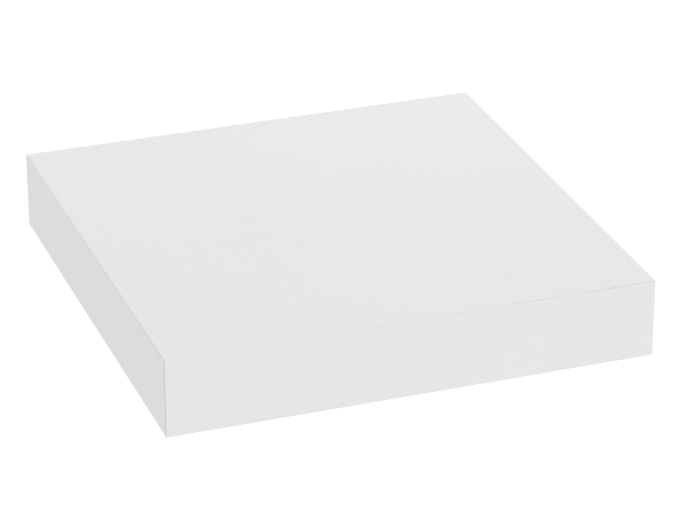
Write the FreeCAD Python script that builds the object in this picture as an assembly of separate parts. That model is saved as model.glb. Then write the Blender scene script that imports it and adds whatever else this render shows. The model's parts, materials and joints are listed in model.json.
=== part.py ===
import FreeCAD, Part
import math
import os

# Floating wall shelf: a hollow board that pushes onto the two rods of a concealed wall bracket.
# Millimetres. X runs along the wall, -Y points into the room and Z is up.
# The origin is on the wall, in the middle of the bracket plate's back face.

# Board
SHELF_WIDTH = 235.0
SHELF_DEPTH = 235.0
SHELF_THICKNESS = 38.0
SKIN = 3.0
BAND = 0.4
BAND_ROUND = 0.15
GLUE_LINE = 0.15

# Frame between the two skins
FRONT_RAIL = 25.0
SIDE_RAIL = 20.0
BACK_RAIL = 28.0
GUIDE_WIDTH = 30.0

# Staples across the butt joints of the frame
STAPLE_CROWN = 12.0
STAPLE_LEG = 12.0
STAPLE_WIRE = 1.2
STAPLE_STAGGER = 8.0

# Paper honeycomb in the three bays of the frame
CELL = 14.0
CELL_WALL = 0.5
CORE_CLEARANCE = 0.5

# Bracket plate, seated in the channel behind the back rail
PLATE_THICKNESS = 3.0
PLATE_CORNER = 3.0
PLATE_END_GAP = 6.95
PLATE_EDGE_GAP = 3.0
SCREW_HEAD_ROOM = 6.0
SLOT_WIDTH = 5.5
SLOT_LENGTH = 11.0
SLOT_INSET = 12.0

# Rods welded to the plate
ROD_DIAMETER = 12.0
ROD_LENGTH = 120.0
ROD_FROM_SLOT = 23.0
ROD_SHOULDER = 2.0
ROD_CHAMFER = 1.5
ROD_CLEARANCE = 0.25
ROD_END_ROOM = 4.0
SPIGOT_RECESS = 0.3
WELD_LEG = 3.0
WELD_CROWN = 0.4

# Locking screws under the rods, in threaded inserts
LOCK_DIAMETER = 6.0
LOCK_CHAMFER = 0.8
LOCK_RECESS = 2.7
LOCK_POINT_GAP = 0.3
SOCKET_FLATS = 3.0
SOCKET_DEPTH = 3.5
THREAD_CLEARANCE = 0.2
INSERT_WALL = 1.5
INSERT_RECESS = 0.2
INSERT_BELOW_BORE = 1.5

# Gap around pieces that are pressed or driven into one another
PRESS_GAP = 0.05

# Levels and planes that the pieces share
top = SHELF_THICKNESS / 2
underside = -top
core_height = SHELF_THICKNESS - 2 * SKIN
core_top = core_height / 2
core_floor = -core_top
half_width = SHELF_WIDTH / 2
half_panel = half_width - BAND - GLUE_LINE
half_bay = half_panel - SIDE_RAIL
panel_front = -(SHELF_DEPTH - BAND - GLUE_LINE)
front_rail_back = panel_front + FRONT_RAIL
channel_depth = PLATE_THICKNESS + SCREW_HEAD_ROOM
back_rail_front = -(channel_depth + BACK_RAIL)

# Bracket layout, inwards from the ends of the channel
plate_front = -PLATE_THICKNESS
half_plate = half_bay - PLATE_END_GAP
slot_x = half_plate - SLOT_INSET
rod_x = slot_x - ROD_FROM_SLOT
rod_radius = ROD_DIAMETER / 2
rod_end = plate_front - ROD_LENGTH
bore_radius = rod_radius + ROD_CLEARANCE
spigot_radius = rod_radius - ROD_SHOULDER

# Guide and bay layout, outwards from the rods
guide_inner = rod_x - GUIDE_WIDTH / 2
guide_outer = rod_x + GUIDE_WIDTH / 2

# Locking screw layout, downwards from the rod
lock_y = -(channel_depth + BACK_RAIL / 2)
lock_radius = LOCK_DIAMETER / 2
lock_point = -(rod_radius + LOCK_POINT_GAP)
thread_radius = lock_radius + THREAD_CLEARANCE
insert_radius = thread_radius + INSERT_WALL
insert_top = -(bore_radius + INSERT_BELOW_BORE)

UP = FreeCAD.Vector(0, 0, 1)
TO_ROOM = FreeCAD.Vector(0, -1, 0)
SIDES = {"left": -1, "right": 1}


def block(x0, x1, y0, y1, z0, z1):
    """A box between two corners."""
    return Part.makeBox(x1 - x0, y1 - y0, z1 - z0, FreeCAD.Vector(x0, y0, z0))


def frame_block(x0, x1, y0, y1):
    """A piece of the frame, as high as the space between the skins."""
    return block(x0, x1, y0, y1, core_floor, core_top)


def bar(x, radius, y0, y1):
    """A level round bar from y0 towards the room to y1."""
    return Part.makeCylinder(radius, y0 - y1, FreeCAD.Vector(x, y0, 0), TO_ROOM)


def post(x, radius, z0, z1):
    """An upright round bar on the locking screws' line, from z0 up to z1."""
    return Part.makeCylinder(radius, z1 - z0, FreeCAD.Vector(x, lock_y, z0), UP)


def hexagon(x, y, z, flats, first_turn):
    """A hexagonal face with its first corner at an angle in degrees."""
    reach = flats / math.sqrt(3)
    turns = [math.radians(first_turn + 60 * k) for k in range(7)]
    points = [FreeCAD.Vector(x + reach * math.cos(t), y + reach * math.sin(t), z) for t in turns]
    return Part.Face(Part.makePolygon(points))


def outline(points):
    """Straight edges through points given as radius and depth."""
    vectors = [FreeCAD.Vector(radius, depth, 0) for radius, depth in points]
    return [Part.makeLine(a, b) for a, b in zip(vectors, vectors[1:])]


def turned(edges, x):
    """A solid turned about the rod axis at x from a closed outline of radius and depth."""
    face = Part.Face(Part.Wire(edges))
    solid = face.revolve(FreeCAD.Vector(0, 0, 0), FreeCAD.Vector(0, 1, 0), 360)
    solid.translate(FreeCAD.Vector(x, 0, 0))
    return solid


def eased(band, is_outer_edge):
    """An edge band whose outer edges are rounded by trimming."""
    edges = [edge for edge in band.Edges if is_outer_edge(edge)]
    return band.makeFillet(min(BAND_ROUND, BAND / 2), edges)


def front_band():
    """Band along the whole front, over the ends of the side bands."""
    front = -SHELF_DEPTH
    band = block(-half_width, half_width, front, front + BAND, underside, top)
    return eased(band, lambda edge: math.isclose(edge.BoundBox.YMax, front, abs_tol=BAND / 4))


def side_band(side):
    """Band along one side, rounded at its two long outer edges only."""
    outer = side * half_width
    x0, x1 = sorted((outer, outer - side * BAND))
    band = block(x0, x1, panel_front, 0, underside, top)
    return eased(
        band,
        lambda edge: math.isclose(edge.CenterOfMass.x, outer, abs_tol=BAND / 4)
        and edge.BoundBox.YLength > edge.BoundBox.ZLength,
    )


def staple(x, y, face, inwards, grow):
    """A staple across the joint plane at x, its crown flush with a face of the frame."""
    half_crown = STAPLE_CROWN / 2 + grow
    half_wire = STAPLE_WIRE / 2 + grow

    def wire(x0, x1, depth):
        z0, z1 = sorted((face, face + inwards * depth))
        return block(x0, x1, y - half_wire, y + half_wire, z0, z1)

    crown = wire(x - half_crown, x + half_crown, STAPLE_WIRE + grow)
    legs = [
        wire(start, start + 2 * half_wire, STAPLE_LEG + grow)
        for start in (x - half_crown, x + half_crown - 2 * half_wire)
    ]
    return crown.fuse(legs).removeSplitter()


def staples(grow):
    """A staple in the upper and in the lower face at each corner of the frame."""
    rail_lines = ((panel_front + front_rail_back) / 2, lock_y)
    return [
        staple(side * half_bay, rail_y - inwards * STAPLE_STAGGER / 2, face, inwards, grow)
        for side in SIDES.values()
        for rail_y in rail_lines
        for face, inwards in ((core_top, -1), (core_floor, 1))
    ]


def honeycomb(bay_x0, bay_x1):
    """Expanded paper core for one bay: the walls between hexagonal cells, cut off square."""
    x0, x1 = bay_x0 + CORE_CLEARANCE, bay_x1 - CORE_CLEARANCE
    y0, y1 = front_rail_back + CORE_CLEARANCE, back_rail_front - CORE_CLEARANCE
    middle_x, middle_y = (x0 + x1) / 2, (y0 + y1) / 2
    column_step = CELL + CELL_WALL
    row_step = column_step * math.sqrt(3) / 2
    columns = math.ceil((x1 - x0) / 2 / column_step) + 1
    rows = math.ceil((y1 - y0) / 2 / row_step) + 1
    cells = [
        hexagon(
            middle_x + (column + row % 2 / 2) * column_step,
            middle_y + (row + 0.5) * row_step,
            core_floor,
            CELL,
            30,
        )
        for row in range(-rows, rows + 1)
        for column in range(-columns, columns + 1)
    ]
    sheet = Part.makePlane(x1 - x0, y1 - y0, FreeCAD.Vector(x0, y0, core_floor), UP)
    walls = max(sheet.cut(cells).Faces, key=lambda face: face.Area)
    return walls.extrude(UP * core_height)


def wall_plate():
    """Steel strip with rounded corners, a hole for each rod's spigot and a slot for each wall screw."""
    half_height = core_top - PLATE_EDGE_GAP
    strip = block(-half_plate, half_plate, plate_front, 0, -half_height, half_height)
    corners = [e for e in strip.Edges if math.isclose(e.BoundBox.YLength, PLATE_THICKNESS, rel_tol=0.01)]
    strip = strip.makeFillet(PLATE_CORNER, corners)
    slot_radius = SLOT_WIDTH / 2
    slot_run = SLOT_LENGTH / 2 - slot_radius
    holes = []
    for side in SIDES.values():
        ends = (side * slot_x - slot_run, side * slot_x + slot_run)
        holes += [bar(end, slot_radius, 0, plate_front) for end in ends]
        holes.append(block(*ends, plate_front, 0, -slot_radius, slot_radius))
        holes.append(bar(side * rod_x, spigot_radius + PRESS_GAP, 0, plate_front))
    return strip.cut(holes)


def rod(x):
    """Round bar with a spigot through the plate and a chamfered free end."""
    profile = outline(
        [
            (0, -SPIGOT_RECESS),
            (spigot_radius, -SPIGOT_RECESS),
            (spigot_radius, plate_front),
            (rod_radius, plate_front),
            (rod_radius, rod_end + ROD_CHAMFER),
            (rod_radius - ROD_CHAMFER, rod_end),
            (0, rod_end),
            (0, -SPIGOT_RECESS),
        ]
    )
    return turned(profile, x)


def weld_bead(x):
    """Fillet weld with a crowned face, between the plate and the foot of a rod."""
    inner = rod_radius + PRESS_GAP
    outer = inner + WELD_LEG
    tip = plate_front - WELD_LEG
    middle = WELD_LEG / 2 + WELD_CROWN
    crown = Part.Arc(
        FreeCAD.Vector(outer, plate_front, 0),
        FreeCAD.Vector(inner + middle, plate_front - middle, 0),
        FreeCAD.Vector(inner, tip, 0),
    )
    legs = outline([(inner, tip), (inner, plate_front), (outer, plate_front)])
    return turned([crown.toShape()] + legs, x)


def threaded_insert(x):
    """Sleeve in the underside that takes the locking screw's thread."""
    low = underside + INSERT_RECESS
    return post(x, insert_radius, low, insert_top).cut(post(x, thread_radius, low, insert_top))


def lock_screw(x):
    """Socket set screw, chamfered at both ends, with its hexagon socket in the lower end."""
    low = underside + LOCK_RECESS
    screw = post(x, lock_radius, low, lock_point)
    rims = [edge for edge in screw.Edges if edge.isClosed()]
    socket = hexagon(x, lock_y, low, SOCKET_FLATS, 0).extrude(UP * SOCKET_DEPTH)
    return screw.makeChamfer(LOCK_CHAMFER, rims).cut(socket)


pieces = {
    "front_edge_band": front_band(),
    "front_rail": frame_block(-half_bay, half_bay, panel_front, front_rail_back),
    "back_rail": frame_block(-half_bay, half_bay, back_rail_front, -channel_depth),
    "centre_honeycomb": honeycomb(-guide_inner, guide_inner),
    "wall_plate": wall_plate(),
}
for panel, z0, z1 in (("top_panel", core_top, top), ("bottom_panel", underside, core_floor)):
    pieces[panel] = block(-half_panel, half_panel, panel_front, 0, z0, z1)
for name, side in SIDES.items():
    pieces[name + "_edge_band"] = side_band(side)
    pieces[name + "_rail"] = frame_block(*sorted((side * half_panel, side * half_bay)), panel_front, 0)
    guide = sorted((side * guide_inner, side * guide_outer))
    pieces[name + "_rod_guide"] = frame_block(*guide, front_rail_back, back_rail_front)
    pieces[name + "_honeycomb"] = honeycomb(*sorted((side * guide_outer, side * half_bay)))
    pieces[name + "_threaded_insert"] = threaded_insert(side * rod_x)
    pieces[name + "_lock_screw"] = lock_screw(side * rod_x)
    pieces[name + "_rod"] = rod(side * rod_x)
pieces["frame_staples"] = Part.makeCompound(staples(0))
pieces["weld_beads"] = Part.makeCompound([weld_bead(side * rod_x) for side in SIDES.values()])

# Holes for the rods, the inserts and their screws, and the kerfs of the staples
staple_kerfs = staples(PRESS_GAP)
rod_bores = [bar(side * rod_x, bore_radius, 0, rod_end - ROD_END_ROOM) for side in SIDES.values()]
insert_holes = []
for side in SIDES.values():
    insert_holes.append(post(side * rod_x, insert_radius + PRESS_GAP, underside, insert_top))
    insert_holes.append(post(side * rod_x, thread_radius, insert_top, 0))
cuts = {
    "bottom_panel": insert_holes,
    "back_rail": rod_bores + insert_holes + staple_kerfs,
    "front_rail": staple_kerfs,
    "left_rail": staple_kerfs,
    "right_rail": staple_kerfs,
    "left_rod_guide": rod_bores,
    "right_rod_guide": rod_bores,
}
for name, tools in cuts.items():
    pieces[name] = pieces[name].cut(tools)

os.makedirs("parts", exist_ok=True)
for name, shape in pieces.items():
    shape.exportStep(f"parts/{name}.step")
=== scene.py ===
import json
import math

import bmesh
import bpy
from mathutils import Matrix, Vector


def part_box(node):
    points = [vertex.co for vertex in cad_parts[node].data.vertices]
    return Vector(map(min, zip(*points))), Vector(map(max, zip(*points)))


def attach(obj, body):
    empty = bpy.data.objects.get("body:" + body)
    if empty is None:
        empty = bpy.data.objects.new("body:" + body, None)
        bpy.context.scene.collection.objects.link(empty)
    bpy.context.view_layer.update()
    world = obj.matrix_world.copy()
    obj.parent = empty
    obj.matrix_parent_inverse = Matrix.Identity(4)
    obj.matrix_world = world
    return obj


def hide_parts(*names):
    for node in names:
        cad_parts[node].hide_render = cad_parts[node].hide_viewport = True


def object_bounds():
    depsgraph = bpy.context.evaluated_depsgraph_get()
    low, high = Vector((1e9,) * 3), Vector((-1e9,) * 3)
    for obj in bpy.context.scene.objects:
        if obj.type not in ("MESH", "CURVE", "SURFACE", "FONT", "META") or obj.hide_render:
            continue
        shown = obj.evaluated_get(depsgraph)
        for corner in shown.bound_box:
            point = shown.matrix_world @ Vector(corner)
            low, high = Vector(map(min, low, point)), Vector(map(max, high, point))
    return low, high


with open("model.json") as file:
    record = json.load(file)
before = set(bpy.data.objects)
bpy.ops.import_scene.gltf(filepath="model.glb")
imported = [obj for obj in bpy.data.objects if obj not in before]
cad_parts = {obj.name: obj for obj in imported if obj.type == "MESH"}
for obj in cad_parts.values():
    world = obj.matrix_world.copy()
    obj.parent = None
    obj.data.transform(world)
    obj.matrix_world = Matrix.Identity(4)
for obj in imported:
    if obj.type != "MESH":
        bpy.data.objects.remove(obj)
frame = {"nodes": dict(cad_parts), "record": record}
cad_low, cad_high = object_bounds()


# Frame rails and rod guides
# Strips sawn from three-layer particleboard, butted, stapled and glued between the two skins.
# The bare sawn chips show at the back ends of the side rails and in the channel for the bracket.
MM = 0.001
FRAME_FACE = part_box("back_rail")[1].z
FINE_LAYER = 2.2 * MM
LAYER_BLEND = 1.6 * MM
CHIP_BEND = 2.5 * MM
BEND_REACH = (1.2 * MM, 1.2 * MM, 0.9 * MM)
FIBRE_LENGTH = 2.1 * MM
FIBRE_WIDTH = 0.25 * MM
PORE_LENGTH = 2.3 * MM
PORE_WIDTH = 0.7 * MM
SAWN_RELIEF = 0.25 * MM

# Length, thickness and tones of each size of chip, and the share of the core that the larger ones take
FINE_CHIPS = (1.5 * MM, 0.4 * MM, ("#A98258", "#C29C6E", "#D0AF84", "#B58D60"))
CORE_CHIPS = (
    (3.6 * MM, 0.75 * MM, ("#9A7345", "#C9A470", "#DDBF92", "#B78E5B"), 0.6),
    (8.0 * MM, 1.1 * MM, ("#D6B483", "#A77D4C", "#E3CA9F", "#C39C69"), 0.38),
)


def linear(hex_colour):
    """Turns an sRGB hex colour into the linear RGBA that a node's socket takes."""
    channels = [int(hex_colour[start:start + 2], 16) / 255 for start in (1, 3, 5)]
    return [c / 12.92 if c <= 0.04045 else ((c + 0.055) / 1.055) ** 2.4 for c in channels] + [1.0]


def fill(tree, made, sockets):
    """Fills a node's inputs, given by name or index, with values or with the outputs of other nodes."""
    for key, value in sockets.items():
        named = [socket for socket in made.inputs if socket.enabled and socket.name == key]
        target = named[0] if named else made.inputs[key]
        if isinstance(value, bpy.types.Node):
            value = next(socket for socket in value.outputs if socket.enabled)
        if isinstance(value, bpy.types.NodeSocket):
            tree.links.new(value, target)
        else:
            target.default_value = value


def add(tree, kind, sockets=None, stops=(), **settings):
    """Adds a node, sets its properties and colour stops, and fills its inputs."""
    made = tree.nodes.new(kind)
    for name, value in settings.items():
        setattr(made, name, value)
    fill(tree, made, sockets or {})
    for index, (place, colour) in enumerate(stops):
        ramp = made.color_ramp.elements
        stop = ramp[index] if index < 2 else ramp.new(place)
        stop.position = place
        stop.color = linear(colour)
    return made


def start_material(name):
    """Starts a material and gives it, its tree, its shader and the Object coordinates."""
    made = bpy.data.materials.new(name)
    made.use_nodes = True
    tree = made.node_tree
    coords = add(tree, "ShaderNodeTexCoord").outputs["Object"]
    return made, tree, tree.nodes["Principled BSDF"], coords


def lying_flat(length, thickness):
    """Scale of a pattern whose grains lie level, from a grain's length and thickness."""
    return (1 / length, 1 / length, 1 / thickness)


def lay_chips(tree, place, length, thickness, tones):
    """Lays chips of one size; gives where they lie, their tones and three random draws for each."""
    laid = add(tree, "ShaderNodeMapping", {"Vector": place, "Scale": lying_flat(length, thickness)})
    chips = add(tree, "ShaderNodeTexVoronoi", {"Vector": laid, "Scale": 1.0})
    draws = add(tree, "ShaderNodeSeparateColor", {0: chips.outputs["Color"]}).outputs
    stops = [(index / (len(tones) - 1), colour) for index, colour in enumerate(tones)]
    return laid, add(tree, "ShaderNodeValToRGB", {"Fac": draws["Red"]}, stops), draws


# Three-layer particleboard, sawn: pale tan chips of mixed sizes lying flat, some browner, with small
# pores between them painted dark brown as shade, and only fine chips near each face; dull and rough.
particleboard, tree, shader, coords = start_material("three_layer_particleboard")
wander = add(tree, "ShaderNodeTexNoise", {"Vector": coords, "Scale": 1 / CHIP_BEND, "Detail": 3.0})
bent = add(
    tree,
    "ShaderNodeVectorMath",
    {0: wander.outputs["Color"], 1: BEND_REACH, 2: coords},
    operation="MULTIPLY_ADD",
)
axes = add(tree, "ShaderNodeSeparateXYZ", {0: coords}).outputs
from_middle = add(tree, "ShaderNodeMath", {0: axes["Z"]}, operation="ABSOLUTE")
fine_from = FRAME_FACE - FINE_LAYER
in_core = add(
    tree,
    "ShaderNodeMapRange",
    {"Value": from_middle, "From Min": fine_from, "From Max": fine_from - LAYER_BLEND},
)
_, chip_colour, draws = lay_chips(tree, bent, *FINE_CHIPS)
chip_height = draws["Blue"]
for length, thickness, tones, share in CORE_CHIPS:
    laid, tone, draws = lay_chips(tree, bent, length, thickness, tones)
    rims = add(tree, "ShaderNodeTexVoronoi", {"Vector": laid, "Scale": 1.0}, feature="DISTANCE_TO_EDGE")
    inside = add(tree, "ShaderNodeMapRange", {"Value": rims, "From Min": 0.02, "From Max": 0.07})
    chosen = add(tree, "ShaderNodeMath", {0: draws["Green"], 1: share}, operation="LESS_THAN")
    cored = add(tree, "ShaderNodeMath", {0: chosen, 1: in_core}, operation="MULTIPLY")
    cover = add(tree, "ShaderNodeMath", {0: inside, 1: cored}, operation="MULTIPLY")
    chip_colour = add(
        tree,
        "ShaderNodeMix",
        {"Factor": cover, "A": chip_colour, "B": tone},
        data_type="RGBA",
    )
    chip_height = add(tree, "ShaderNodeMix", {"Factor": cover, "A": chip_height, "B": draws["Blue"]})
along = add(tree, "ShaderNodeMapping", {"Vector": bent, "Scale": lying_flat(FIBRE_LENGTH, FIBRE_WIDTH)})
fibres = add(tree, "ShaderNodeTexNoise", {"Vector": along, "Scale": 1.0, "Detail": 3.0})
fibre_shade = add(
    tree,
    "ShaderNodeMapRange",
    {"Value": fibres, "From Min": 0.3, "From Max": 0.7, "To Min": 0.72, "To Max": 1.12},
)
fibrous = add(
    tree,
    "ShaderNodeMix",
    {"Factor": 1.0, "A": chip_colour, "B": fibre_shade},
    data_type="RGBA",
    blend_type="MULTIPLY",
)
# Pores between the chips: sunk in the relief, and painted dark brown as the shade inside them.
flattened = add(tree, "ShaderNodeMapping", {"Vector": bent, "Scale": lying_flat(PORE_LENGTH, PORE_WIDTH)})
gaps = add(tree, "ShaderNodeTexNoise", {"Vector": flattened, "Scale": 1.0, "Detail": 4.0})
pore = add(tree, "ShaderNodeMapRange", {"Value": gaps, "From Min": 0.62, "From Max": 0.67, "To Max": 0.8})
pore_shaded = add(
    tree,
    "ShaderNodeMix",
    {"Factor": pore, "A": fibrous, "B": linear("#55391F")},
    data_type="RGBA",
)
sunk = add(tree, "ShaderNodeMath", {0: chip_height, 1: pore}, operation="SUBTRACT")
sawn = add(tree, "ShaderNodeBump", {"Strength": 0.7, "Distance": SAWN_RELIEF, "Height": sunk})
fill(tree, shader, {"Base Color": pore_shaded, "Roughness": 0.9, "Normal": sawn})


def dress(material, *nodes):
    """Gives CAD nodes that keep their own shape a finished material."""
    for node in nodes:
        frame["nodes"][node].material_slots[0].material = material


dress(particleboard, "front_rail", "back_rail", "left_rail", "right_rail")
dress(particleboard, "left_rod_guide", "right_rod_guide")


# Honeycomb core
# Strips of brown kraft paper glued in lines and pulled open into cells, one block to each bay.
# Set on edge between the skins, it stiffens the board and carries no screws.
PAPER_CLOUD = 9.0 * MM
PAPER_FIBRE = 0.4 * MM
PAPER_RELIEF = 0.05 * MM

# Kraft paper, unbleached: even mid brown with a soft cloud and short darker fibres; matt.
kraft_paper, tree, shader, coords = start_material("kraft_paper")
cloud = add(tree, "ShaderNodeTexNoise", {"Vector": coords, "Scale": 1 / PAPER_CLOUD, "Detail": 3.0})
flecks = add(tree, "ShaderNodeTexNoise", {"Vector": coords, "Scale": 1 / PAPER_FIBRE, "Detail": 2.0})
pulp = add(tree, "ShaderNodeValToRGB", {"Fac": cloud}, [(0.0, "#A27E50"), (1.0, "#B8956A")])
fleck = add(tree, "ShaderNodeMapRange", {"Value": flecks, "From Min": 0.58, "From Max": 0.7})
flecked = add(
    tree,
    "ShaderNodeMix",
    {"Factor": fleck, "A": pulp, "B": linear("#7C5B36")},
    data_type="RGBA",
)
felt = add(tree, "ShaderNodeBump", {"Strength": 0.4, "Distance": PAPER_RELIEF, "Height": flecks})
fill(tree, shader, {"Base Color": flecked, "Roughness": 0.85, "Normal": felt})
dress(kraft_paper, "left_honeycomb", "centre_honeycomb", "right_honeycomb")


# Frame staples
# Square galvanised wire bent over a former and shot across each butt joint, above and below,
# with the crown flush in the rail so that the skin lies flat on it.
STAPLE_CROWN = 12.0 * MM
STAPLE_LEG = 12.0 * MM
STAPLE_WIRE = 1.2 * MM
STAPLE_BEND = 0.9 * MM
STAPLE_EASE = 0.2 * MM
STAPLE_OFFSET = 4.0 * MM
BEND_STEPS = 5
EASE_STEPS = 2


def metal_skin(name, patch, tones, dullness, grain, depth, metallic=1.0, crystal=None):
    """A metal whose tone and gloss drift in patches, with the grain of its making and any zinc crystals."""
    made, tree, shader, coords = start_material(name)
    patches = add(tree, "ShaderNodeTexNoise", {"Vector": coords, "Scale": 1 / patch, "Detail": 4.0})
    colour = add(tree, "ShaderNodeValToRGB", {"Fac": patches}, tones)
    if crystal:
        # Each zinc crystal's tone is nudged a little lighter or darker: a painted glint.
        spangle = add(tree, "ShaderNodeTexVoronoi", {"Vector": coords, "Scale": 1 / crystal})
        draws = add(tree, "ShaderNodeSeparateColor", {0: spangle.outputs["Color"]}).outputs
        glint = add(tree, "ShaderNodeMapRange", {"Value": draws["Red"], "To Min": 0.97, "To Max": 1.02})
        colour = add(
            tree,
            "ShaderNodeMix",
            {"Factor": 1.0, "A": colour, "B": glint},
            data_type="RGBA",
            blend_type="MULTIPLY",
        )
    worked = add(tree, "ShaderNodeMapping", {"Vector": coords, "Scale": grain})
    lines = add(tree, "ShaderNodeTexNoise", {"Vector": worked, "Scale": 1.0, "Detail": 4.0})
    streaks = add(tree, "ShaderNodeMath", {0: lines, 1: patches}, operation="MULTIPLY")
    least, most = dullness
    gloss = add(
        tree,
        "ShaderNodeMapRange",
        {"Value": streaks, "From Min": 0.1, "From Max": 0.45, "To Min": least, "To Max": most},
    )
    relief = add(tree, "ShaderNodeBump", {"Strength": 0.5, "Distance": depth, "Height": lines})
    fill(tree, shader, {"Base Color": colour, "Metallic": metallic, "Roughness": gloss, "Normal": relief})
    return made


# Galvanised wire: dull bluish grey zinc with a fine frosted spangle, its crystals given a painted glint.
galvanised_wire = metal_skin(
    "galvanised_wire",
    patch=3.0 * MM,
    tones=[(0.3, "#9DA2A6"), (0.7, "#BCC0C4")],
    dullness=(0.32, 0.55),
    grain=lying_flat(0.3 * MM, 0.3 * MM),
    depth=0.01 * MM,
    crystal=0.8 * MM,
)


def start_nodes(name, inputs):
    """Starts a Geometry Nodes tree with named inputs; gives it, their identifiers and their sockets."""
    tree = bpy.data.node_groups.new(name, "GeometryNodeTree")
    identifiers = {}
    for label, kind in inputs.items():
        socket = tree.interface.new_socket(label, in_out="INPUT", socket_type="NodeSocket" + kind)
        identifiers[label] = socket.identifier
    tree.interface.new_socket("Piece", in_out="OUTPUT", socket_type="NodeSocketGeometry")
    return tree, identifiers, add(tree, "NodeGroupInput").outputs


def end_nodes(tree, shape, finish):
    """Ends a Geometry Nodes tree in real geometry that carries its material."""
    real = add(tree, "GeometryNodeRealizeInstances", {"Geometry": shape})
    finished = add(tree, "GeometryNodeSetMaterial", {"Geometry": real, "Material": finish})
    add(tree, "NodeGroupOutput", {"Piece": finished})


def run_nodes(name, points, edges, tree, identifiers, values):
    """Runs a Geometry Nodes tree on points and edges, and gives the result as a plain mesh."""
    start = bpy.data.meshes.new(name)
    start.from_pydata(points, edges, [])
    carrier = bpy.data.objects.new(name, start)
    bpy.context.scene.collection.objects.link(carrier)
    modifier = carrier.modifiers.new(tree.name, "NODES")
    modifier.node_group = tree
    for label, value in values.items():
        modifier[identifiers[label]] = value
    evaluated = carrier.evaluated_get(bpy.context.evaluated_depsgraph_get())
    result = bpy.data.meshes.new_from_object(evaluated)
    carrier.modifiers.remove(modifier)
    bpy.data.objects.remove(carrier)
    bpy.data.meshes.remove(start)
    return result


def place_piece(name, mesh, body, slot, *nodes):
    """Adds a finished mesh as a piece that rides on a body and stands for CAD nodes."""
    piece = bpy.data.objects.new(name, mesh)
    bpy.context.scene.collection.objects.link(piece)
    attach(piece, body)
    if nodes:
        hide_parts(*nodes)


# Wire swept along each staple's bent line
tree, identifiers, given = start_nodes(
    "bent_staple_wire",
    {
        "Bent Line": "Geometry",
        "Wire Width": "Float",
        "Wire Ease": "Float",
        "Bend Radius": "Float",
        "Finish": "Material",
    },
)
line = add(tree, "GeometryNodeMeshToCurve", {"Mesh": given["Bent Line"]})
bend = add(
    tree,
    "GeometryNodeFilletCurve",
    {"Curve": line, "Count": BEND_STEPS, "Radius": given["Bend Radius"], "Limit Radius": True},
    mode="POLY",
)
square = add(
    tree,
    "GeometryNodeCurvePrimitiveQuadrilateral",
    {"Width": given["Wire Width"], "Height": given["Wire Width"]},
    mode="RECTANGLE",
)
section = add(
    tree,
    "GeometryNodeFilletCurve",
    {"Curve": square, "Count": EASE_STEPS, "Radius": given["Wire Ease"], "Limit Radius": True},
    mode="POLY",
)
wire = add(tree, "GeometryNodeCurveToMesh", {"Curve": bend, "Profile Curve": section, "Fill Caps": True})
end_nodes(tree, wire, given["Finish"])

# Staples at both ends of the front and back rails, in their upper and their lower faces
staple_points = []
staple_edges = []
half_crown = (STAPLE_CROWN - STAPLE_WIRE) / 2
for rail in ("front_rail", "back_rail"):
    rail_low, rail_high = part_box(rail)
    for joint_x in (rail_low.x, rail_high.x):
        for up in (1, -1):
            y = (rail_low.y + rail_high.y) / 2 + up * STAPLE_OFFSET
            crown_z = up * (FRAME_FACE - STAPLE_WIRE / 2)
            tip_z = up * (FRAME_FACE - STAPLE_LEG)
            first = len(staple_points)
            staple_points += [
                (joint_x - half_crown, y, tip_z),
                (joint_x - half_crown, y, crown_z),
                (joint_x + half_crown, y, crown_z),
                (joint_x + half_crown, y, tip_z),
            ]
            staple_edges += [(first + step, first + step + 1) for step in range(3)]
staple_mesh = run_nodes(
    "bent_staples",
    staple_points,
    staple_edges,
    tree,
    identifiers,
    {
        "Wire Width": STAPLE_WIRE,
        "Wire Ease": STAPLE_EASE,
        "Bend Radius": STAPLE_BEND,
        "Finish": galvanised_wire,
    },
)
place_piece("bent_staples", staple_mesh, "board", "galvanised_wire", "frame_staples")


# Top and bottom panels
# Skins of 3 mm high-density fibreboard, faced on the outside with white melamine paper, glued to
# the frame and sawn to size with it, so that the brown fibre shows at the back edge.
FACE_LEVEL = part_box("top_panel")[1].z
PAPER_THICKNESS = 0.2 * MM
PAPER_WHITES = ("#E3E3E6", "#ECECEE")
CLOUD_SIZE = 55.0 * MM
SPECK_SPACING = 30.0 * MM
SPECK_RADIUS = 0.3 * MM
SPECK_SHARE = 0.3
TEAR_REACH = 0.35 * MM
TEAR_LENGTH = 2.2 * MM
HOLD_INSIDE = 0.93
HOLD_AT_EDGE = 0.53
FELT_LENGTH = 1.2 * MM
FELT_WIDTH = 0.3 * MM
PAPER_DULLNESS = 0.42
FIBRE_DULLNESS = 0.88

# Mottle and orange peel, drawn several times coarser than the real ones so that they show
MOTTLE_SIZE = 1.3 * MM
MOTTLE_SHARE = 0.6
PEEL_SIZE = 1.1 * MM
PEEL_DEPTH = 0.008 * MM
PEEL_STRENGTH = 0.6


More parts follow.
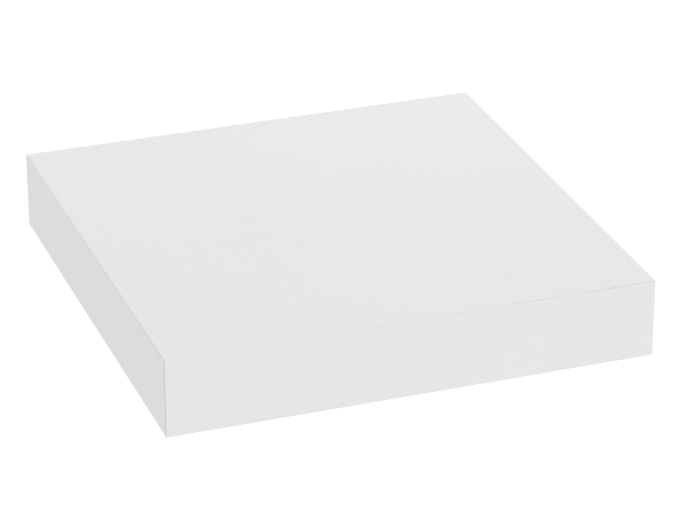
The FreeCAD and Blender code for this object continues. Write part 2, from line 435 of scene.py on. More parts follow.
def melamine_print(tree, coords, flat, whites):
    """Printed white of melamine paper: a soft cloud and a fine mottle between two near whites.

    A few grey specks lie in it, laid out by coordinates in the plane of the face.
    """
    cloud = add(tree, "ShaderNodeTexNoise", {"Vector": coords, "Scale": 1 / CLOUD_SIZE, "Detail": 2.0})
    mottle = add(tree, "ShaderNodeTexNoise", {"Vector": coords, "Scale": 1 / MOTTLE_SIZE, "Detail": 2.0})
    tone = add(tree, "ShaderNodeMix", {"Factor": MOTTLE_SHARE, "A": cloud, "B": mottle})
    white = add(tree, "ShaderNodeValToRGB", {"Fac": tone}, [(0.0, whites[0]), (1.0, whites[1])])
    specks = add(
        tree,
        "ShaderNodeTexVoronoi",
        {"Vector": flat, "Scale": 1 / SPECK_SPACING},
        voronoi_dimensions="2D",
    )
    draws = add(tree, "ShaderNodeSeparateColor", {0: specks.outputs["Color"]}).outputs
    speck_size = add(
        tree,
        "ShaderNodeMath",
        {0: draws["Green"], 1: SPECK_RADIUS / SPECK_SPACING},
        operation="MULTIPLY",
    )
    near_speck = add(tree, "ShaderNodeMath", {0: specks, 1: speck_size}, operation="LESS_THAN")
    chosen = add(tree, "ShaderNodeMath", {0: draws["Red"], 1: SPECK_SHARE}, operation="LESS_THAN")
    speck = add(tree, "ShaderNodeMath", {0: near_speck, 1: chosen}, operation="MULTIPLY")
    return add(
        tree,
        "ShaderNodeMix",
        {"Factor": speck, "A": white, "B": linear("#C0BDB9")},
        data_type="RGBA",
    )


# Fibreboard faced with melamine paper: a flat neutral white with a soft satin gloss, very fine orange
# peel, a faint mottle and a few grey specks in the print; bare fibre at the edges is a felted brown.
faced_fibreboard, tree, shader, coords = start_material("melamine_faced_fibreboard")
axes = add(tree, "ShaderNodeSeparateXYZ", {0: coords}).outputs
height = add(tree, "ShaderNodeMath", {0: axes["Z"]}, operation="ABSOLUTE")
on_face = add(
    tree,
    "ShaderNodeMath",
    {0: height, 1: FACE_LEVEL - PAPER_THICKNESS},
    operation="GREATER_THAN",
)
saw_tears = add(tree, "ShaderNodeTexNoise", {"Vector": coords, "Scale": 1 / TEAR_LENGTH, "Detail": 3.0})
grip = add(
    tree,
    "ShaderNodeMapRange",
    {
        "Value": axes["Y"],
        "From Min": -TEAR_REACH,
        "From Max": 0.0,
        "To Min": HOLD_INSIDE,
        "To Max": HOLD_AT_EDGE,
    },
)
untorn = add(tree, "ShaderNodeMath", {0: saw_tears, 1: grip}, operation="LESS_THAN")
paper = add(tree, "ShaderNodeMath", {0: on_face, 1: untorn}, operation="MULTIPLY")
printed = melamine_print(tree, coords, coords, PAPER_WHITES)
felted = add(tree, "ShaderNodeMapping", {"Vector": coords, "Scale": lying_flat(FELT_LENGTH, FELT_WIDTH)})
felt = add(tree, "ShaderNodeTexNoise", {"Vector": felted, "Scale": 1.0, "Detail": 4.0})
fibre = add(tree, "ShaderNodeValToRGB", {"Fac": felt}, [(0.3, "#6B4D30"), (0.7, "#A07C52")])
skin_colour = add(tree, "ShaderNodeMix", {"Factor": paper, "A": fibre, "B": printed}, data_type="RGBA")
skin_gloss = add(tree, "ShaderNodeMix", {"Factor": paper, "A": FIBRE_DULLNESS, "B": PAPER_DULLNESS})
peel = add(tree, "ShaderNodeTexNoise", {"Vector": coords, "Scale": 1 / PEEL_SIZE, "Detail": 1.0})
relief = add(tree, "ShaderNodeMix", {"Factor": paper, "A": felt, "B": peel})
skin_relief = add(
    tree,
    "ShaderNodeBump",
    {"Strength": PEEL_STRENGTH, "Distance": PEEL_DEPTH, "Height": relief},
)
fill(tree, shader, {"Base Color": skin_colour, "Roughness": skin_gloss, "Normal": skin_relief})
dress(faced_fibreboard, "top_panel", "bottom_panel")


# Edge bands
# White melamine tape, 0.4 mm thick, pressed on with hot glue and trimmed flush; the front band laps
# over the ends of the two side bands. The trimmed edges bare the tape's beige core; the left band's
# trimmed top edge is painted grey instead, as shade along that edge.
HALF_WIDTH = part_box("front_edge_band")[1].x
SHELF_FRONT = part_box("front_edge_band")[0].y
TRIM_DEPTH = 0.09 * MM
TRIM_STREAK = 7.0 * MM
TRIM_DRIFT = 0.22
TRIM_RAMP = (0.28, 0.72)
DARKER_FROM = SHELF_FRONT / 4
TAPE_DULLNESS = 0.4
CORE_DULLNESS = 0.7
FRONT_WHITES = ("#E0E1E4", "#E9E9EB")
SIDE_WHITES = ("#E1E1E4", "#E9E9EB")
FRONT_TRIM = ("#D3CBC1", "#ECEBEA")
# The left band's trim tones are painted shade, a grey line along its top edge; the right band's stay near
# white.
SIDE_TRIM_AND_SHADE_TONES = {"left": ("#D1CECC", "#DDDCDD"), "right": ("#E7E7E7", "#EAEAEB")}
CUT_CORE = ("#C3B5AD", "#C9BDB6")


def melamine_tape(name, whites, trim_and_shade_tones, axis, start, reach, darker_stretch):
    """Melamine tape: white and satin on its face, duller and browner where it is trimmed or cut off.

    It runs along an axis, is cut off at a reach from its start, and its bared edges darken along a stretch.
    Trim tones can be painted shade, as on the left band, whose trimmed top edge is painted grey.
    """
    made, tree, shader, coords = start_material(name)
    axes = add(tree, "ShaderNodeSeparateXYZ", {0: coords}).outputs
    height = add(tree, "ShaderNodeMath", {0: axes["Z"]}, operation="ABSOLUTE")
    trimmed = add(tree, "ShaderNodeMath", {0: height, 1: FACE_LEVEL - TRIM_DEPTH}, operation="GREATER_THAN")
    run = add(tree, "ShaderNodeMath", {0: axes[axis], 1: start}, operation="SUBTRACT")
    away = add(tree, "ShaderNodeMath", {0: run}, operation="ABSOLUTE")
    cut_off = add(tree, "ShaderNodeMath", {0: away, 1: reach - TRIM_DEPTH}, operation="GREATER_THAN")
    streaks = add(tree, "ShaderNodeTexNoise", {"Vector": coords, "Scale": 1 / TRIM_STREAK, "Detail": 4.0})
    drift = add(
        tree,
        "ShaderNodeMapRange",
        {
            "Value": axes[axis],
            "From Min": darker_stretch[0],
            "From Max": darker_stretch[1],
            "To Min": TRIM_DRIFT,
            "To Max": -TRIM_DRIFT,
        },
    )
    bite = add(tree, "ShaderNodeMath", {0: streaks, 1: drift}, operation="ADD")
    flat = add(tree, "ShaderNodeCombineXYZ", {"X": axes[axis], "Y": axes["Z"]})
    colour = melamine_print(tree, coords, flat, whites)
    # Trimmed edges take the trim tones, painted edge shade on the left band; cut-off ends bare the beige
    # core.
    for bared, tones in ((trimmed, trim_and_shade_tones), (cut_off, CUT_CORE)):
        core = add(tree, "ShaderNodeValToRGB", {"Fac": bite}, zip(TRIM_RAMP, tones))
        colour = add(tree, "ShaderNodeMix", {"Factor": bared, "A": colour, "B": core}, data_type="RGBA")
    bare = add(tree, "ShaderNodeMath", {0: trimmed, 1: cut_off}, operation="MAXIMUM")
    gloss = add(tree, "ShaderNodeMix", {"Factor": bare, "A": TAPE_DULLNESS, "B": CORE_DULLNESS})
    peel = add(tree, "ShaderNodeTexNoise", {"Vector": coords, "Scale": 1 / PEEL_SIZE, "Detail": 1.0})
    relief = add(
        tree,
        "ShaderNodeBump",
        {"Strength": PEEL_STRENGTH, "Distance": PEEL_DEPTH, "Height": peel},
    )
    fill(tree, shader, {"Base Color": colour, "Roughness": gloss, "Normal": relief})
    return made


front_tape = melamine_tape(
    "melamine_front_tape",
    FRONT_WHITES,
    FRONT_TRIM,
    axis="X",
    start=0.0,
    reach=HALF_WIDTH,
    darker_stretch=(0.0, HALF_WIDTH),
)
dress(front_tape, "front_edge_band")
for side, trim_and_shade_tones in SIDE_TRIM_AND_SHADE_TONES.items():
    side_tape = melamine_tape(
        f"melamine_{side}_tape",
        SIDE_WHITES,
        trim_and_shade_tones,
        axis="Y",
        start=SHELF_FRONT,
        reach=-SHELF_FRONT,
        darker_stretch=(DARKER_FROM, SHELF_FRONT),
    )
    dress(side_tape, side + "_edge_band")


# Glue lines
# Hot-melt glue squeezed out round each edge band and shaved off with the trim, which leaves an
# uneven thread of beige brown in the joint between the band and the board.
GLUE_RADIUS = 0.1 * MM
GLUE_SPREAD = 0.07 * MM
GLUE_STEP = 0.7 * MM
GLUE_WAVE = 4.0 * MM
GLUE_BATCH = 11.0 * MM
GLUE_SINK = 0.06 * MM
GLUE_SCRAPED = 0.1 * MM
GLUE_SIDES = 8

# Hot-melt glue: brown and slightly waxy where it stands in the joint, pale where the trimmer scraped
# it flush with the top and the underside.
hot_melt, tree, shader, coords = start_material("hot_melt_glue")
axes = add(tree, "ShaderNodeSeparateXYZ", {0: coords}).outputs
height = add(tree, "ShaderNodeMath", {0: axes["Z"]}, operation="ABSOLUTE")
scraped = add(tree, "ShaderNodeMath", {0: height, 1: FACE_LEVEL - GLUE_SCRAPED}, operation="GREATER_THAN")
batch = add(tree, "ShaderNodeTexNoise", {"Vector": coords, "Scale": 1 / GLUE_BATCH, "Detail": 4.0})
standing = add(tree, "ShaderNodeValToRGB", {"Fac": batch}, [(0.35, "#AD9C94"), (0.65, "#B5A59D")])
shaved = add(tree, "ShaderNodeValToRGB", {"Fac": batch}, [(0.3, "#DBD9D6"), (0.7, "#E7E6E5")])
glue_colour = add(tree, "ShaderNodeMix", {"Factor": scraped, "A": standing, "B": shaved}, data_type="RGBA")
fill(tree, shader, {"Base Color": glue_colour, "Roughness": 0.38})

# Thread of glue along each joint, thicker and thinner by a fixed noise
tree, identifiers, given = start_nodes(
    "glue_thread",
    {
        "Joint": "Geometry",
        "Radius": "Float",
        "Spread": "Float",
        "Step": "Float",
        "Wave": "Float",
        "Seed": "Float",
        "Finish": "Material",
    },
)
joint = add(tree, "GeometryNodeMeshToCurve", {"Mesh": given["Joint"]})
stepped = add(tree, "GeometryNodeResampleCurve", {"Curve": joint, "Length": given["Step"]}, mode="LENGTH")
place = add(tree, "GeometryNodeInputPosition")
frequency = add(tree, "ShaderNodeMath", {0: 1.0, 1: given["Wave"]}, operation="DIVIDE")
swell = add(
    tree,
    "ShaderNodeTexNoise",
    {"Vector": place, "W": given["Seed"], "Scale": frequency, "Detail": 2.0},
    noise_dimensions="4D",
)
centred = add(tree, "ShaderNodeMapRange", {"Value": swell, "To Min": -1.0, "To Max": 1.0})
radius = add(
    tree,
    "ShaderNodeMath",
    {0: centred, 1: given["Spread"], 2: given["Radius"]},
    operation="MULTIPLY_ADD",
)
section = add(
    tree,
    "GeometryNodeCurvePrimitiveCircle",
    {"Resolution": GLUE_SIDES, "Radius": 1.0},
    mode="RADIUS",
)
thread = add(
    tree,
    "GeometryNodeCurveToMesh",
    {"Curve": stepped, "Profile Curve": section, "Scale": radius},
)
smooth = add(tree, "GeometryNodeSetShadeSmooth", {"Geometry": thread})
end_nodes(tree, smooth, given["Finish"])

# Joints round the front band and round each side band, whose glue is sawn off at the back
panel_low, panel_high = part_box("top_panel")
front_joint_y = (panel_low.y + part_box("front_edge_band")[1].y) / 2
side_joint_x = (panel_high.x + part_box("right_edge_band")[0].x) / 2
glue_x = HALF_WIDTH - GLUE_SINK
glue_z = FACE_LEVEL - GLUE_SINK
side_ends = {-1: panel_low.y, 1: panel_high.y - GLUE_RADIUS - GLUE_SPREAD}
corners = ((-1, -1), (1, -1), (1, 1), (-1, 1))
joints = {
    "front_glue_line": [(along * glue_x, front_joint_y, up * glue_z) for along, up in corners],
    "left_glue_line": [(-side_joint_x, side_ends[along], up * glue_z) for along, up in corners],
    "right_glue_line": [(side_joint_x, side_ends[along], up * glue_z) for along, up in corners],
}
for seed, (name, points) in enumerate(joints.items()):
    glue_mesh = run_nodes(
        name,
        points,
        [(0, 1), (1, 2), (2, 3), (3, 0)],
        tree,
        identifiers,
        {
            "Radius": GLUE_RADIUS,
            "Spread": GLUE_SPREAD,
            "Step": GLUE_STEP,
            "Wave": GLUE_WAVE,
            "Seed": float(seed),
            "Finish": hot_melt,
        },
    )
    place_piece(name, glue_mesh, "board", "edge_band")


# Threaded inserts
# Turned brass sleeves with barbed outsides, pressed into the underside below each rod. They give
# the locking screws an M6 thread that the particleboard could not hold.
sleeve_low, sleeve_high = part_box("left_threaded_insert")
SLEEVE_RADIUS = (sleeve_high.y - sleeve_low.y) / 2
SLEEVE_BREAK = 0.1 * MM
SLEEVE_COLLAR = 1.6 * MM
BARB_PITCH = 1.5 * MM
BARB_DEPTH = 0.35 * MM
BARB_UNDERCUT = 0.05 * MM
SLEEVE_BORE = 3.15 * MM
SLEEVE_GROOVE = 0.4 * MM
SLEEVE_MOUTH = 0.5 * MM
MOUTH_BREAK = 0.15 * MM
THREAD_PITCH = 1.0 * MM
THREAD_STEP = 0.1 * MM
THREAD_FLAT = 0.2
THREAD_FLANK = 0.6
THREAD_CREASE = math.radians(32)
TURN_COUNT = 96


def node_middle(node):
    """Middle of a CAD node's box."""
    low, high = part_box(node)
    return (low + high) / 2


def ring(radius, z):
    """A ring of points about the Z axis; the radius is a length, or a function of the turn from 0 to 1."""
    points = []
    for step in range(TURN_COUNT):
        turn = step / TURN_COUNT
        reach = radius(turn) if callable(radius) else radius
        points.append((reach * math.cos(math.tau * turn), reach * math.sin(math.tau * turn), z))
    return points


def thread_form(turn, z):
    """Height of a trapezoid thread from 0 at its root to 1 at its crest.

    Its flats and flanks are shares of half a pitch.
    """
    place = (z / THREAD_PITCH - turn) % 1.0
    slope = 1 - abs(2 * place - 1)
    return min(1.0, max(0.0, (slope - THREAD_FLAT) / THREAD_FLANK))


def skin_rings(name, rings, closed, crease):
    """Skins rings of points, as a closed tube or as a row with flat ends, with outward faces."""
    count = len(rings[0])
    points = [point for one in rings for point in one]
    faces = []
    for row in range(len(rings) if closed else len(rings) - 1):
        low = row * count
        high = (row + 1) % len(rings) * count
        for step in range(count):
            after = (step + 1) % count
            faces.append((low + step, low + after, high + after, high + step))
    if not closed:
        faces.append(tuple(reversed(range(count))))
        faces.append(tuple(range(len(points) - count, len(points))))
    made = bpy.data.meshes.new(name)
    made.from_pydata(points, [], faces)
    made.shade_smooth()
    made.set_sharp_from_angle(angle=crease)
    return made


# Brass, turned: warm yellow metal with fine tool lines round it and a slightly dulled skin.
turned_brass = metal_skin(
    "turned_brass",
    patch=2.5 * MM,
    tones=[(0.0, "#B08D48"), (1.0, "#D2B168")],
    dullness=(0.22, 0.42),
    grain=lying_flat(2.0 * MM, 0.12 * MM),
    depth=0.02 * MM,
)

sleeve_rings = [
    ring(SLEEVE_RADIUS - SLEEVE_BREAK, sleeve_low.z),
    ring(SLEEVE_RADIUS, sleeve_low.z + SLEEVE_BREAK),
    ring(SLEEVE_RADIUS, sleeve_low.z + SLEEVE_COLLAR),
]
z = sleeve_low.z + SLEEVE_COLLAR
while z + BARB_PITCH < sleeve_high.z:
    sleeve_rings.append(ring(SLEEVE_RADIUS - BARB_DEPTH, z + BARB_UNDERCUT))
    z += BARB_PITCH
    sleeve_rings.append(ring(SLEEVE_RADIUS, z))
sleeve_rings.append(ring(SLEEVE_RADIUS - BARB_DEPTH, sleeve_high.z))
groove_radius = SLEEVE_BORE + SLEEVE_GROOVE
for row in range(round((sleeve_high.z - sleeve_low.z - SLEEVE_MOUTH) / THREAD_STEP) + 1):
    z = sleeve_high.z - row * THREAD_STEP
    sleeve_rings.append(ring(lambda turn: groove_radius - SLEEVE_GROOVE * thread_form(turn, z), z))
sleeve_rings.append(ring(groove_radius + MOUTH_BREAK, sleeve_low.z + MOUTH_BREAK))
sleeve_rings.append(ring(groove_radius + 2 * MOUTH_BREAK, sleeve_low.z))
for side in ("left", "right"):
    middle = node_middle(side + "_threaded_insert")
    sleeve_mesh = skin_rings(side + "_insert_sleeve", sleeve_rings, True, THREAD_CREASE)
    sleeve_mesh.transform(Matrix.Translation((middle.x, middle.y, 0.0)))
    sleeve_mesh.materials.append(turned_brass)
    place_piece(side + "_insert_sleeve", sleeve_mesh, "board", "brass", side + "_threaded_insert")


# Locking screws
# M6 x 10 socket set screws, rolled thread, cup point up against the rod and a 3 mm hexagon socket
# in the lower end. They are screwed up through the inserts and stop the board being pulled off.
screw_low, screw_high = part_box("left_lock_screw")
SCREW_RADIUS = 3.0 * MM
SCREW_ROOT = 2.45 * MM
SCREW_CHAMFER = 0.8 * MM
SOCKET_FLATS = 3.0 * MM
SOCKET_DEPTH = 3.5 * MM
SOCKET_CONE = 0.4 * MM
SOCKET_BREAK = 0.15 * MM
CUP_RADIUS = 1.5 * MM
CUP_DEPTH = 0.7 * MM
POINT_RADIUS = 0.1 * MM

# Black-oxide steel: a deep grey-black skin on metal, oiled, a little browner where it is thin.
black_oxide = metal_skin(
    "black_oxide_steel",
    patch=1.2 * MM,
    tones=[(0.0, "#232427"), (1.0, "#3A3733")],
    dullness=(0.28, 0.5),
    grain=lying_flat(0.15 * MM, 0.15 * MM),
    depth=0.01 * MM,
    metallic=0.9,
)


def hexagon_reach(turn):
    """Distance from the socket's axis to its wall at a turn from 0 to 1."""
    return SOCKET_FLATS / 2 / math.cos((math.tau * turn) % (math.pi / 3) - math.pi / 6)


def screw_reach(turn, z):
    """Radius of the threaded shank, limited by the chamfers at its two ends."""
    thread = SCREW_ROOT + (SCREW_RADIUS - SCREW_ROOT) * thread_form(turn, z)
    low_end = SCREW_RADIUS - SCREW_CHAMFER + (z - screw_low.z)
    high_end = SCREW_RADIUS - SCREW_CHAMFER + (screw_high.z - z)
    return min(thread, low_end, high_end)


socket_floor = screw_low.z + SOCKET_DEPTH
screw_rings = [
    ring(POINT_RADIUS, socket_floor + SOCKET_CONE),
    ring(hexagon_reach, socket_floor),
    ring(hexagon_reach, screw_low.z + SOCKET_BREAK),
    ring(lambda turn: hexagon_reach(turn) + SOCKET_BREAK, screw_low.z),
]
for row in range(round((screw_high.z - screw_low.z) / THREAD_STEP) + 1):
    z = screw_low.z + row * THREAD_STEP
    screw_rings.append(ring(lambda turn: screw_reach(turn, z), z))
screw_rings.append(ring(CUP_RADIUS, screw_high.z))
screw_rings.append(ring(POINT_RADIUS, screw_high.z - CUP_DEPTH))
for side in ("left", "right"):
    middle = node_middle(side + "_lock_screw")
    screw_mesh = skin_rings(side + "_set_screw", screw_rings, False, THREAD_CREASE)
    screw_mesh.transform(Matrix.Translation((middle.x, middle.y, 0.0)))
    screw_mesh.materials.append(black_oxide)
    place_piece(side + "_set_screw", screw_mesh, side + "_lock", "black_oxide_steel", side + "_lock_screw")


# Wall plate
# Blanked from 3 mm steel strip, zinc plated, with two slots for the wall screws and a hole for each
# rod's spigot. Blanking leaves its edges slightly rounded.
plate_low, plate_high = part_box("wall_plate")
PLATE_SIZE = plate_high - plate_low
PLATE_CORNER = 3.0 * MM
PLATE_EDGE = 0.3 * MM
CORNER_STEPS = 12
EDGE_STEPS = 2
MERGE_REACH = 0.001 * MM
BRACKET_CREASE = math.radians(25)
LINE_WIDTH = 0.3 * MM
STRIP_LINE = 25.0 * MM
SPIGOT_HOLE = 8.1 * MM
slot = next(mount["dims"] for mount in frame["record"]["mounts"] if mount["name"] == "wall_screws")
SLOT_SPACING = slot["spacing_x_mm"] * MM
SLOT_LENGTH = slot["slot_length_mm"] * MM
SLOT_WIDTH = 2 * slot["hole_r_mm"] * MM


def zinc_plate(name, grain):
    """Bright zinc plate over worked steel: pale bluish grey, drawn lines along the grain, dull patches."""
    return metal_skin(
        name,
        patch=14.0 * MM,
        tones=[(0.3, "#A3A9B0"), (0.55, "#B1B6BC"), (0.75, "#BDBFBF")],
        dullness=(0.22, 0.5),
        grain=grain,
        depth=0.03 * MM,
        crystal=2.2 * MM,
    )


def rounded_outline(curve, x, width, height, corner, edge):
    """Adds a closed outline with round corners, drawn in by the edge rounding, to a flat curve."""
    points = []
    for quarter, (along, up) in enumerate(((1, 1), (-1, 1), (-1, -1), (1, -1))):
        for step in range(CORNER_STEPS + 1):
            turn = (quarter + step / CORNER_STEPS) * math.pi / 2
            point_x = x + along * (width / 2 - corner) + (corner - edge) * math.cos(turn)
            point_y = up * (height / 2 - corner) + (corner - edge) * math.sin(turn)
            points.append((point_x, point_y, 0.0, 1.0))
    spline = curve.splines.new("POLY")
    spline.points.add(len(points) - 1)
    for point, place in zip(spline.points, points):
        point.co = place
    spline.use_cyclic_u = True


# Zinc plate on rolled strip: the drawn lines run along the strip.
zinc_strip = zinc_plate("zinc_plated_strip", (1 / STRIP_LINE, 1 / LINE_WIDTH, 1 / LINE_WIDTH))
plate_curve = bpy.data.curves.new("blanked_plate", "CURVE")
plate_curve.dimensions = "2D"
plate_curve.fill_mode = "BOTH"
plate_curve.extrude = PLATE_SIZE.y / 2 - PLATE_EDGE
plate_curve.bevel_depth = PLATE_EDGE
plate_curve.bevel_resolution = EDGE_STEPS
rounded_outline(plate_curve, 0.0, PLATE_SIZE.x, PLATE_SIZE.z, PLATE_CORNER, PLATE_EDGE)
for slot_x in (-SLOT_SPACING / 2, SLOT_SPACING / 2):
    rounded_outline(plate_curve, slot_x, SLOT_LENGTH, SLOT_WIDTH, SLOT_WIDTH / 2, -PLATE_EDGE)
for rod in ("left_rod", "right_rod"):
    rod_x = node_middle(rod).x
    rounded_outline(plate_curve, rod_x, SPIGOT_HOLE, SPIGOT_HOLE, SPIGOT_HOLE / 2, -PLATE_EDGE)
plate_carrier = bpy.data.objects.new("blanked_plate", plate_curve)
bpy.context.scene.collection.objects.link(plate_carrier)
evaluated = plate_carrier.evaluated_get(bpy.context.evaluated_depsgraph_get())
plate_mesh = bpy.data.meshes.new_from_object(evaluated)
bpy.data.objects.remove(plate_carrier)
upright = Matrix.Rotation(math.pi / 2, 4, "X")
plate_mesh.transform(Matrix.Translation((0.0, -PLATE_SIZE.y / 2, 0.0)) @ upright)
plate_work = bmesh.new()
plate_work.from_mesh(plate_mesh)
bmesh.ops.remove_doubles(plate_work, verts=plate_work.verts, dist=MERGE_REACH)
bmesh.ops.recalc_face_normals(plate_work, faces=plate_work.faces)
plate_work.to_mesh(plate_mesh)
plate_work.free()
plate_mesh.shade_smooth()
plate_mesh.set_sharp_from_angle(angle=BRACKET_CREASE)
plate_mesh.materials.clear()
plate_mesh.materials.append(zinc_strip)
place_piece("blanked_plate", plate_mesh, "bracket", "zinc_plated_steel", "wall_plate")


# Rods
# 12 mm drawn steel bar, turned down at one end to a spigot that passes through the plate, faced and
# chamfered at the other, and zinc plated. They carry the board and enter its bores.
rod_low, rod_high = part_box("left_rod")
SPIGOT_BACK = -rod_high.y
ROD_FOOT = PLATE_SIZE.y
ROD_END = -rod_low.y
ROD_RADIUS = 6.0 * MM
ROD_CHAMFER = 1.5 * MM
ROD_EASE = 0.25 * MM
CHAMFER_EASE = 0.09 * MM
SPIGOT_RADIUS = 4.0 * MM
SPIGOT_BREAK = 0.3 * MM
CENTRE_RADIUS = 0.8 * MM
CENTRE_DEPTH = 0.15 * MM
FACING_PITCH = 0.45 * MM
FACING_DEPTH = 0.025 * MM
BAR_LINE = 30.0 * MM

# Zinc plate on drawn bar: the drawn lines run along the rod.
zinc_bar = zinc_plate("zinc_plated_bar", (1 / LINE_WIDTH, 1 / BAR_LINE, 1 / LINE_WIDTH))
chamfer_start = ROD_END - ROD_CHAMFER
end_radius = ROD_RADIUS - ROD_CHAMFER
rod_rings = [
    ring(CENTRE_RADIUS / 2, SPIGOT_BACK + CENTRE_DEPTH),
    ring(CENTRE_RADIUS, SPIGOT_BACK),
    ring(SPIGOT_RADIUS - SPIGOT_BREAK, SPIGOT_BACK),
    ring(SPIGOT_RADIUS, SPIGOT_BACK + SPIGOT_BREAK),
    ring(SPIGOT_RADIUS, ROD_FOOT),
    ring(ROD_RADIUS, ROD_FOOT),
    ring(ROD_RADIUS, chamfer_start - ROD_EASE),
    ring(ROD_RADIUS - CHAMFER_EASE, chamfer_start + CHAMFER_EASE),
    ring(end_radius + CHAMFER_EASE, ROD_END - CHAMFER_EASE),
]
for row in range(int(2 * (end_radius - ROD_EASE) / FACING_PITCH)):
    rod_rings.append(ring(end_radius - ROD_EASE - row * FACING_PITCH / 2, ROD_END - row % 2 * FACING_DEPTH))
for side in ("left", "right"):
    rod_mesh = skin_rings(side + "_turned_rod", rod_rings, False, BRACKET_CREASE)
    rod_mesh.transform(Matrix.Translation((node_middle(side + "_rod").x, 0.0, 0.0)) @ upright)
    rod_mesh.materials.append(zinc_bar)
    place_piece(side + "_turned_rod", rod_mesh, "bracket", "zinc_plated_steel", side + "_rod")


# Weld beads
# One run of gas-shielded weld round the foot of each rod, plated over with the rest of the bracket.
# The pool freezes in ripples, and swells a little where the torch slowed.
weld_low, weld_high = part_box("weld_beads")
WELD_LEG = weld_high.y - weld_low.y
WELD_GAP = 0.05 * MM
WELD_RIPPLES = 30
RIPPLE_HEIGHT = 0.1 * MM
RIPPLE_BOW = 2.4
POOL_SIZE = 4.0 * MM
POOL_HEIGHT = 0.7 * MM
CROWN_FROM = 0.5 * MM
RUN_STEPS = 240
BEAD_STEPS = 14

# Weld metal under zinc plate: darker and duller than the strip, with straw and blue heat tints.
weld_metal = metal_skin(
    "plated_weld_metal",
    patch=3.0 * MM,
    tones=[(0.3, "#73777E"), (0.5, "#8F8C86"), (0.7, "#A39A8A")],
    dullness=(0.35, 0.6),
    grain=lying_flat(0.4 * MM, 0.4 * MM),
    depth=0.05 * MM,
)

# Quarter-round bead swept round each rod's foot, rippled along its run
tree, identifiers, given = start_nodes(
    "rippled_weld",
    {
        "Rod Feet": "Geometry",
        "Root Radius": "Float",
        "Leg": "Float",
        "Ripples": "Float",
        "Ripple Height": "Float",
        "Ripple Bow": "Float",
        "Pool Size": "Float",
        "Pool Height": "Float",
        "Crown From": "Float",
        "Finish": "Material",
    },
)
run = add(
    tree,
    "GeometryNodeCurvePrimitiveCircle",
    {"Resolution": RUN_STEPS, "Radius": given["Root Radius"]},
    mode="RADIUS",
)
fillet = add(
    tree,
    "GeometryNodeCurveArc",
    {
        "Resolution": BEAD_STEPS,
        "Radius": given["Leg"],
        "Start Angle": -math.pi / 2,
        "Sweep Angle": math.pi / 2,
        "Connect Center": True,
    },
    mode="RADIUS",
)
bead = add(tree, "GeometryNodeCurveToMesh", {"Curve": run, "Profile Curve": fillet})
place = add(tree, "GeometryNodeInputPosition")
axes = add(tree, "ShaderNodeSeparateXYZ", {0: place}).outputs
angle = add(tree, "ShaderNodeMath", {0: axes["Y"], 1: axes["X"]}, operation="ARCTAN2")
ripples = add(tree, "ShaderNodeMath", {0: angle, 1: given["Ripples"]}, operation="MULTIPLY")
rise = add(tree, "ShaderNodeMath", {0: axes["Z"], 1: given["Leg"]}, operation="DIVIDE")
off_middle = add(tree, "ShaderNodeMath", {0: rise, 1: 0.5}, operation="SUBTRACT")
crescent = add(tree, "ShaderNodeMath", {0: off_middle, 1: off_middle}, operation="MULTIPLY")
bow = add(tree, "ShaderNodeMath", {0: given["Ripple Bow"], 1: math.tau}, operation="MULTIPLY")
wave = add(tree, "ShaderNodeMath", {0: crescent, 1: bow, 2: ripples}, operation="MULTIPLY_ADD")
ripple = add(tree, "ShaderNodeMath", {0: wave}, operation="SINE")
rippled = add(tree, "ShaderNodeMath", {0: ripple, 1: given["Ripple Height"]}, operation="MULTIPLY")
frequency = add(tree, "ShaderNodeMath", {0: 1.0, 1: given["Pool Size"]}, operation="DIVIDE")
pool = add(tree, "ShaderNodeTexNoise", {"Vector": place, "Scale": frequency, "Detail": 2.0})
uneven = add(tree, "ShaderNodeMath", {0: pool, 1: 0.5}, operation="SUBTRACT")
bulge = add(
    tree,
    "ShaderNodeMath",
    {0: uneven, 1: given["Pool Height"], 2: rippled},
    operation="MULTIPLY_ADD",
)
outwards = add(tree, "GeometryNodeInputNormal")
shift = add(tree, "ShaderNodeVectorMath", {0: outwards, "Scale": bulge}, operation="SCALE")
flat = add(tree, "ShaderNodeCombineXYZ", {"X": axes["X"], "Y": axes["Y"]})
from_axis = add(tree, "ShaderNodeVectorMath", {0: flat}, operation="LENGTH")
from_root = add(tree, "ShaderNodeMath", {0: from_axis, 1: given["Root Radius"]}, operation="SUBTRACT")
off_corner = add(tree, "ShaderNodeMath", {0: from_root, 1: axes["Z"]}, operation="ADD")
on_crown = add(
    tree,
    "FunctionNodeCompare",
    {"A": off_corner, "B": given["Crown From"]},
    operation="GREATER_THAN",
)
frozen = add(
    tree,
    "GeometryNodeSetPosition",
    {"Geometry": bead, "Selection": on_crown, "Offset": shift},
)
smooth = add(tree, "GeometryNodeSetShadeSmooth", {"Geometry": frozen})
feet = add(
    tree,
    "GeometryNodeInstanceOnPoints",
    {"Points": given["Rod Feet"], "Instance": smooth, "Rotation": (math.pi / 2, 0.0, 0.0)},
)
end_nodes(tree, feet, given["Finish"])
weld_mesh = run_nodes(
    "rippled_welds",
    [(node_middle(rod).x, -ROD_FOOT, 0.0) for rod in ("left_rod", "right_rod")],
    [],
    tree,
    identifiers,
    {
        "Root Radius": ROD_RADIUS + WELD_GAP,
        "Leg": WELD_LEG,
        "Ripples": float(WELD_RIPPLES),
        "Ripple Height": RIPPLE_HEIGHT,
        "Ripple Bow": RIPPLE_BOW,
        "Pool Size": POOL_SIZE,
        "Pool Height": POOL_HEIGHT,
        "Crown From": CROWN_FROM,
        "Finish": weld_metal,
    },
)
place_piece("rippled_welds", weld_mesh, "bracket", "weld_metal", "weld_beads")


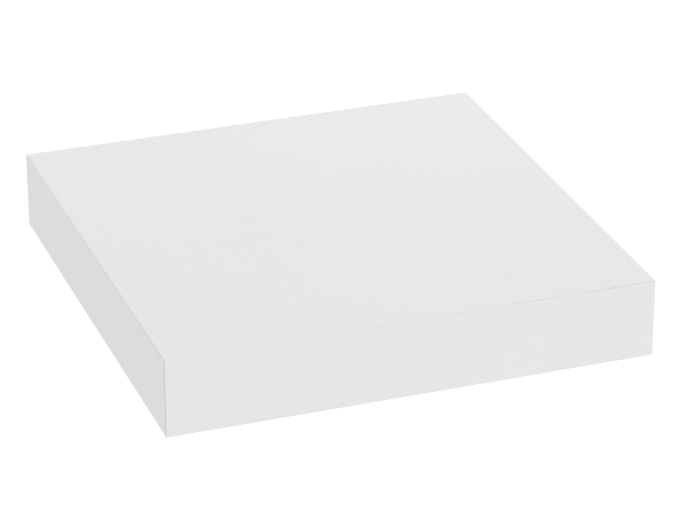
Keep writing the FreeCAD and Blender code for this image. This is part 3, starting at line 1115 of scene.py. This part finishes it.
# Studio
# A pale floor well below the shelf, which hangs in the air as it would on a wall, a white surround
# and two large soft lamps, with the camera at the photograph's angle.
FLOOR_LEVEL = -0.45
FLOOR_HALF = 8.0
FLOOR_CLOUD = 0.67
FLOOR_LIFT = 0.25
SURROUND_LIGHT = 0.873
CAMERA_TURN = math.radians(19.75)
CAMERA_TILT = math.radians(25.96)
CAMERA_LENS = 172.7
CAMERA_DISTANCE = 1.5854
CAMERA_RIGHT = 6.89 * MM
CAMERA_UP = 11.43 * MM
camera_aim = Vector((0.0, (cad_low.y + cad_high.y) / 2, cad_low.z))


def shown_rays(tree):
    """1 for rays that show the studio itself, straight, mirrored or refracted; 0 for rays that light."""
    path = add(tree, "ShaderNodeLightPath").outputs
    bounced = add(
        tree,
        "ShaderNodeMath",
        {0: path["Is Glossy Ray"], 1: path["Is Transmission Ray"]},
        operation="MAXIMUM",
    )
    return add(tree, "ShaderNodeMath", {0: path["Is Camera Ray"], 1: bounced}, operation="MAXIMUM")


# Painted floor: near white and matt, with a trace of cloud; white to the camera, clear from below.
floor_paint, tree, shader, coords = start_material("pale_floor_paint")
cloud = add(tree, "ShaderNodeTexNoise", {"Vector": coords, "Scale": 1 / FLOOR_CLOUD, "Detail": 2.0})
pale = add(tree, "ShaderNodeValToRGB", {"Fac": cloud}, [(0.0, "#EBEBEB"), (1.0, "#F0F0F0")])
lifted = add(tree, "ShaderNodeMath", {0: shown_rays(tree), 1: FLOOR_LIFT}, operation="MULTIPLY")
facing = add(tree, "ShaderNodeNewGeometry").outputs
above = add(tree, "ShaderNodeMath", {0: 1.0, 1: facing["Backfacing"]}, operation="SUBTRACT")
fill(
    tree,
    shader,
    {
        "Base Color": pale,
        "Roughness": 0.9,
        "Emission Color": linear("#FFFFFF"),
        "Emission Strength": lifted,
        "Alpha": above,
    },
)
floor_mesh = bpy.data.meshes.new("floor")
floor_corners = [(along * FLOOR_HALF, deep * FLOOR_HALF, FLOOR_LEVEL) for along, deep in corners]
floor_mesh.from_pydata(floor_corners, [], [(0, 1, 2, 3)])
floor_mesh.materials.append(floor_paint)
floor = bpy.data.objects.new("floor", floor_mesh)
bpy.context.scene.collection.objects.link(floor)

world = bpy.data.worlds.new("white_surround")
world.use_nodes = True
tree = world.node_tree
tree.nodes.clear()
soft_light = add(tree, "ShaderNodeBackground", {"Color": linear("#FFFFFF"), "Strength": SURROUND_LIGHT})
white_ground = add(tree, "ShaderNodeBackground", {"Color": linear("#FFFFFF"), "Strength": 1.0})
surround = add(tree, "ShaderNodeMixShader", {0: shown_rays(tree), 1: soft_light, 2: white_ground})
add(tree, "ShaderNodeOutputWorld", {"Surface": surround})
bpy.context.scene.world = world


def soft_lamp(name, power, size, place):
    """Adds a square soft lamp that faces the middle of the shelf and leaves no highlight on it."""
    lamp = bpy.data.lights.new(name, "AREA")
    lamp.energy = power
    lamp.size = size
    holder = bpy.data.objects.new(name, lamp)
    holder.location = place
    holder.rotation_euler = (camera_aim - Vector(place)).to_track_quat("-Z", "Y").to_euler()
    holder.visible_glossy = False
    bpy.context.scene.collection.objects.link(holder)


soft_lamp("key_lamp", power=7.4, size=1.2, place=(0.4, -2.3, 0.35))
soft_lamp("top_lamp", power=1.25, size=0.4, place=(0.35, 0.5, 0.7))

camera_data = bpy.data.cameras.new("camera")
camera_data.lens = CAMERA_LENS
camera = bpy.data.objects.new("camera", camera_data)
forward = Vector(
    (
        math.sin(CAMERA_TURN) * math.cos(CAMERA_TILT),
        math.cos(CAMERA_TURN) * math.cos(CAMERA_TILT),
        -math.sin(CAMERA_TILT),
    )
)
right = Vector((math.cos(CAMERA_TURN), -math.sin(CAMERA_TURN), 0.0))
up = right.cross(forward)
camera.location = camera_aim - forward * CAMERA_DISTANCE + right * CAMERA_RIGHT + up * CAMERA_UP
camera.rotation_euler = Matrix((right, up, -forward)).transposed().to_euler()
bpy.context.scene.collection.objects.link(camera)
bpy.context.scene.camera = camera
bpy.context.scene.view_settings.view_transform = "Standard"
